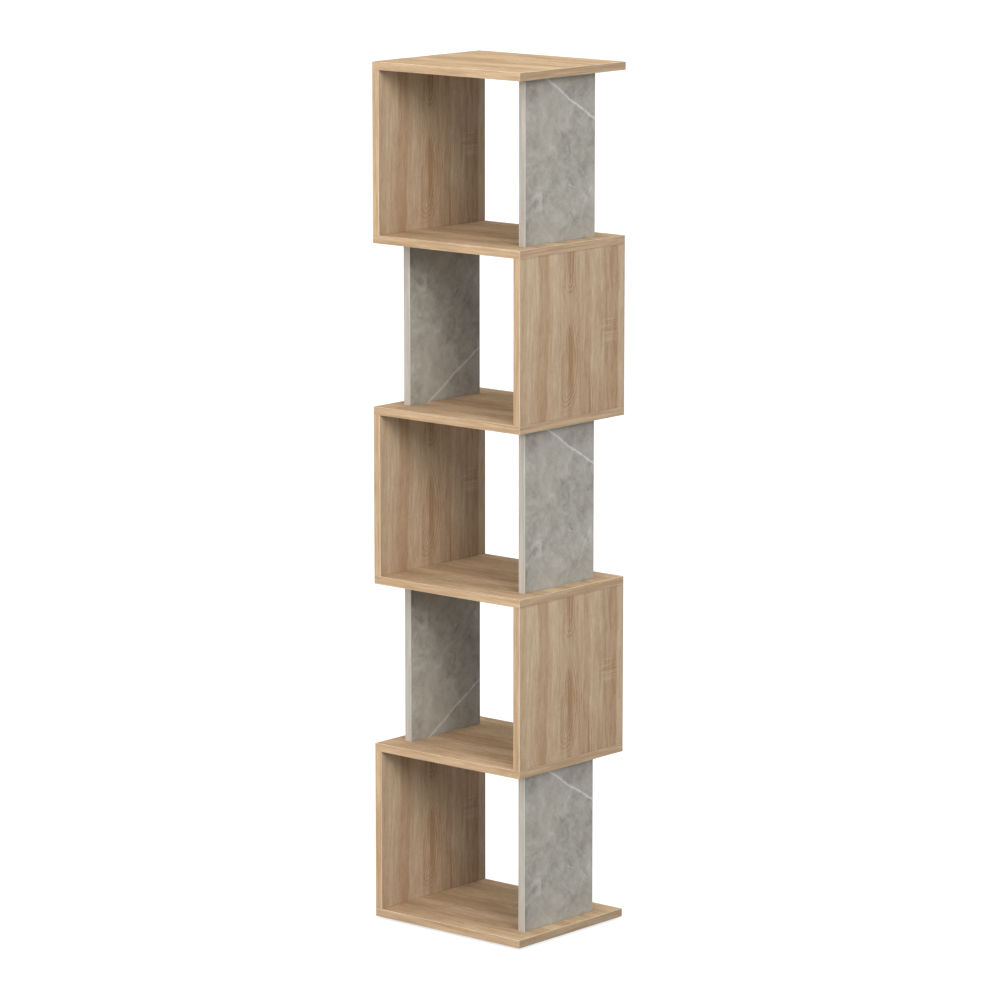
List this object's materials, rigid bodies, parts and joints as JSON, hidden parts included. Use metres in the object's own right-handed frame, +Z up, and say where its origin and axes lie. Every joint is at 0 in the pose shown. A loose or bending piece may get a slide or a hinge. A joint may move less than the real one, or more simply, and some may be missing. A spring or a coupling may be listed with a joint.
{
  "type": "bookcase",
  "caption": "Tall narrow zigzag bookcase: open compartments between wood-look shelves, wide wood-look uprights and set-in stone-look uprights that change sides.",
  "frame": {"origin": "on the floor, in the middle of the base shelf's footprint", "axes": "+Z up, -Y towards the front, +X to the right of someone who faces the front"},
  "size_m": [0.351, 0.295, 1.594],
  "materials": {
    "oak_decor": "light oak decor, matt",
    "stone_decor": "grey stone decor on particleboard, matt",
    "oak_edging": "oak decor edging, satin",
    "stone_edging": "stone grey edging, satin",
    "cam_zinc": "die cast zinc",
    "fitting_steel": "zinc plated",
    "bracket_steel": "zinc plated sheet",
    "beech": "bare beech",
    "cap_oak": "moulded, oak coloured",
    "cap_stone": "moulded, stone grey",
    "glide_plastic": "moulded, dark"
  },
  "bodies": {
    "root": {"base_shelf": "oak_decor", "base_shelf_edging": "oak_edging", "bracket_screw": "fitting_steel", "cam_locks": "cam_zinc", "connecting_bolts": "fitting_steel", "dowels": "beech", "glide_nails": "fitting_steel", "glide_pads": "glide_plastic", "oak_cam_caps": "cap_oak", "oak_upright_1": "oak_decor", "oak_upright_1_edging": "oak_edging", "oak_upright_2": "oak_decor", "oak_upright_2_edging": "oak_edging", "oak_upright_3": "oak_decor", "oak_upright_3_edging": "oak_edging", "oak_upright_4": "oak_decor", "oak_upright_4_edging": "oak_edging", "oak_upright_5": "oak_decor", "oak_upright_5_edging": "oak_edging", "shelf_1": "oak_decor", "shelf_1_edging": "oak_edging", "shelf_2": "oak_decor", "shelf_2_edging": "oak_edging", "shelf_3": "oak_decor", "shelf_3_edging": "oak_edging", "shelf_4": "oak_decor", "shelf_4_edging": "oak_edging", "stone_cam_caps": "cap_stone", "stone_upright_1": "stone_decor", "stone_upright_1_edging": "stone_edging", "stone_upright_2": "stone_decor", "stone_upright_2_edging": "stone_edging", "stone_upright_3": "stone_decor", "stone_upright_3_edging": "stone_edging", "stone_upright_4": "stone_decor", "stone_upright_4_edging": "stone_edging", "stone_upright_5": "stone_decor", "stone_upright_5_edging": "stone_edging", "top_shelf": "oak_decor", "top_shelf_edging": "oak_edging", "wall_bracket": "bracket_steel"}
  },
  "joints": []
}
